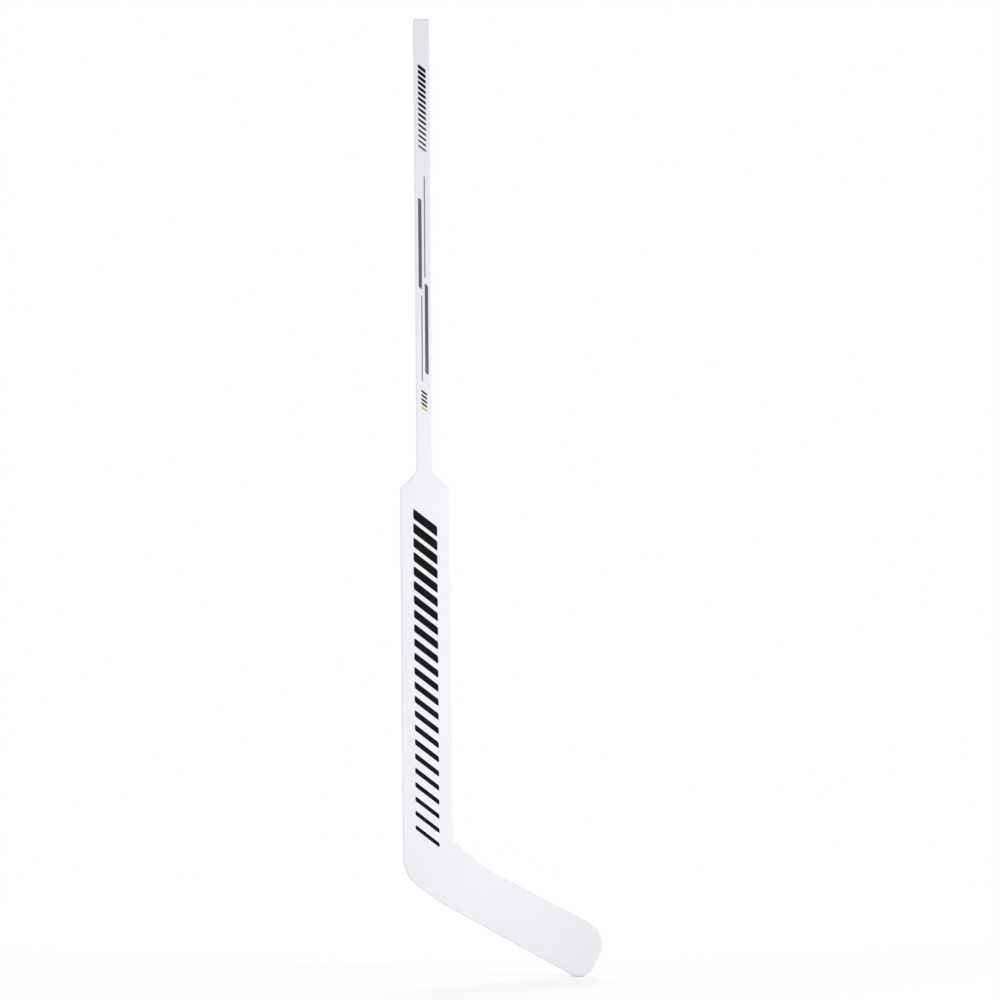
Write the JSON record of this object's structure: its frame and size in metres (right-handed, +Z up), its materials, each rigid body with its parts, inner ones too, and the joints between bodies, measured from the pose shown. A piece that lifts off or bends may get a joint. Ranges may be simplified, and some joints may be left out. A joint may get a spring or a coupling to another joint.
{
  "type": "hockey goalie stick",
  "caption": "White ice hockey goalie stick with a straight laminated shaft, a wide foam-core paddle with sloping shoulders, a rounded heel and a curved blade.",
  "frame": {"origin": "centre of the shaft where the upper hand holds it, just above the paddle", "axes": "+Z up the shaft towards the butt, +X towards the toe of the blade, -Y out of the front face, towards which the blade curves"},
  "size_m": [0.3339, 0.0381, 1.6087],
  "materials": {
    "painted_glass_cloth": "gloss white paint over resin and glass cloth",
    "painted_hardwood": "gloss white paint over hardwood",
    "painted_softwood": "gloss white paint over light wood",
    "painted_plastic": "gloss white paint over tough plastic",
    "rigid_foam": "fine-celled rigid foam, bare",
    "bare_hardwood": "planed hardwood, glued in",
    "black_print": "black printed film under clear lacquer",
    "grey_print": "dark grey printed film under clear lacquer",
    "accent_print": "yellow-green printed film under clear lacquer"
  },
  "bodies": {
    "root": {"shaft_core_ply": "painted_softwood", "shaft_front_ply": "painted_hardwood", "shaft_back_ply": "painted_hardwood", "shaft_front_glass": "painted_glass_cloth", "shaft_back_glass": "painted_glass_cloth", "heel_side_shoulder": "painted_softwood", "toe_side_shoulder": "painted_softwood", "heel_side_rail": "painted_softwood", "toe_side_rail": "painted_softwood", "heel_side_foam": "rigid_foam", "toe_side_foam": "rigid_foam", "paddle_front_skin": "painted_glass_cloth", "paddle_back_skin": "painted_glass_cloth", "heel_block": "painted_hardwood", "heel_tongue": "bare_hardwood", "blade_foam_core": "rigid_foam", "blade_top_strip": "painted_hardwood", "blade_sole_strip": "painted_plastic", "blade_toe_block": "painted_plastic", "blade_front_skin": "painted_glass_cloth", "blade_back_skin": "painted_glass_cloth"}
  },
  "joints": []
}
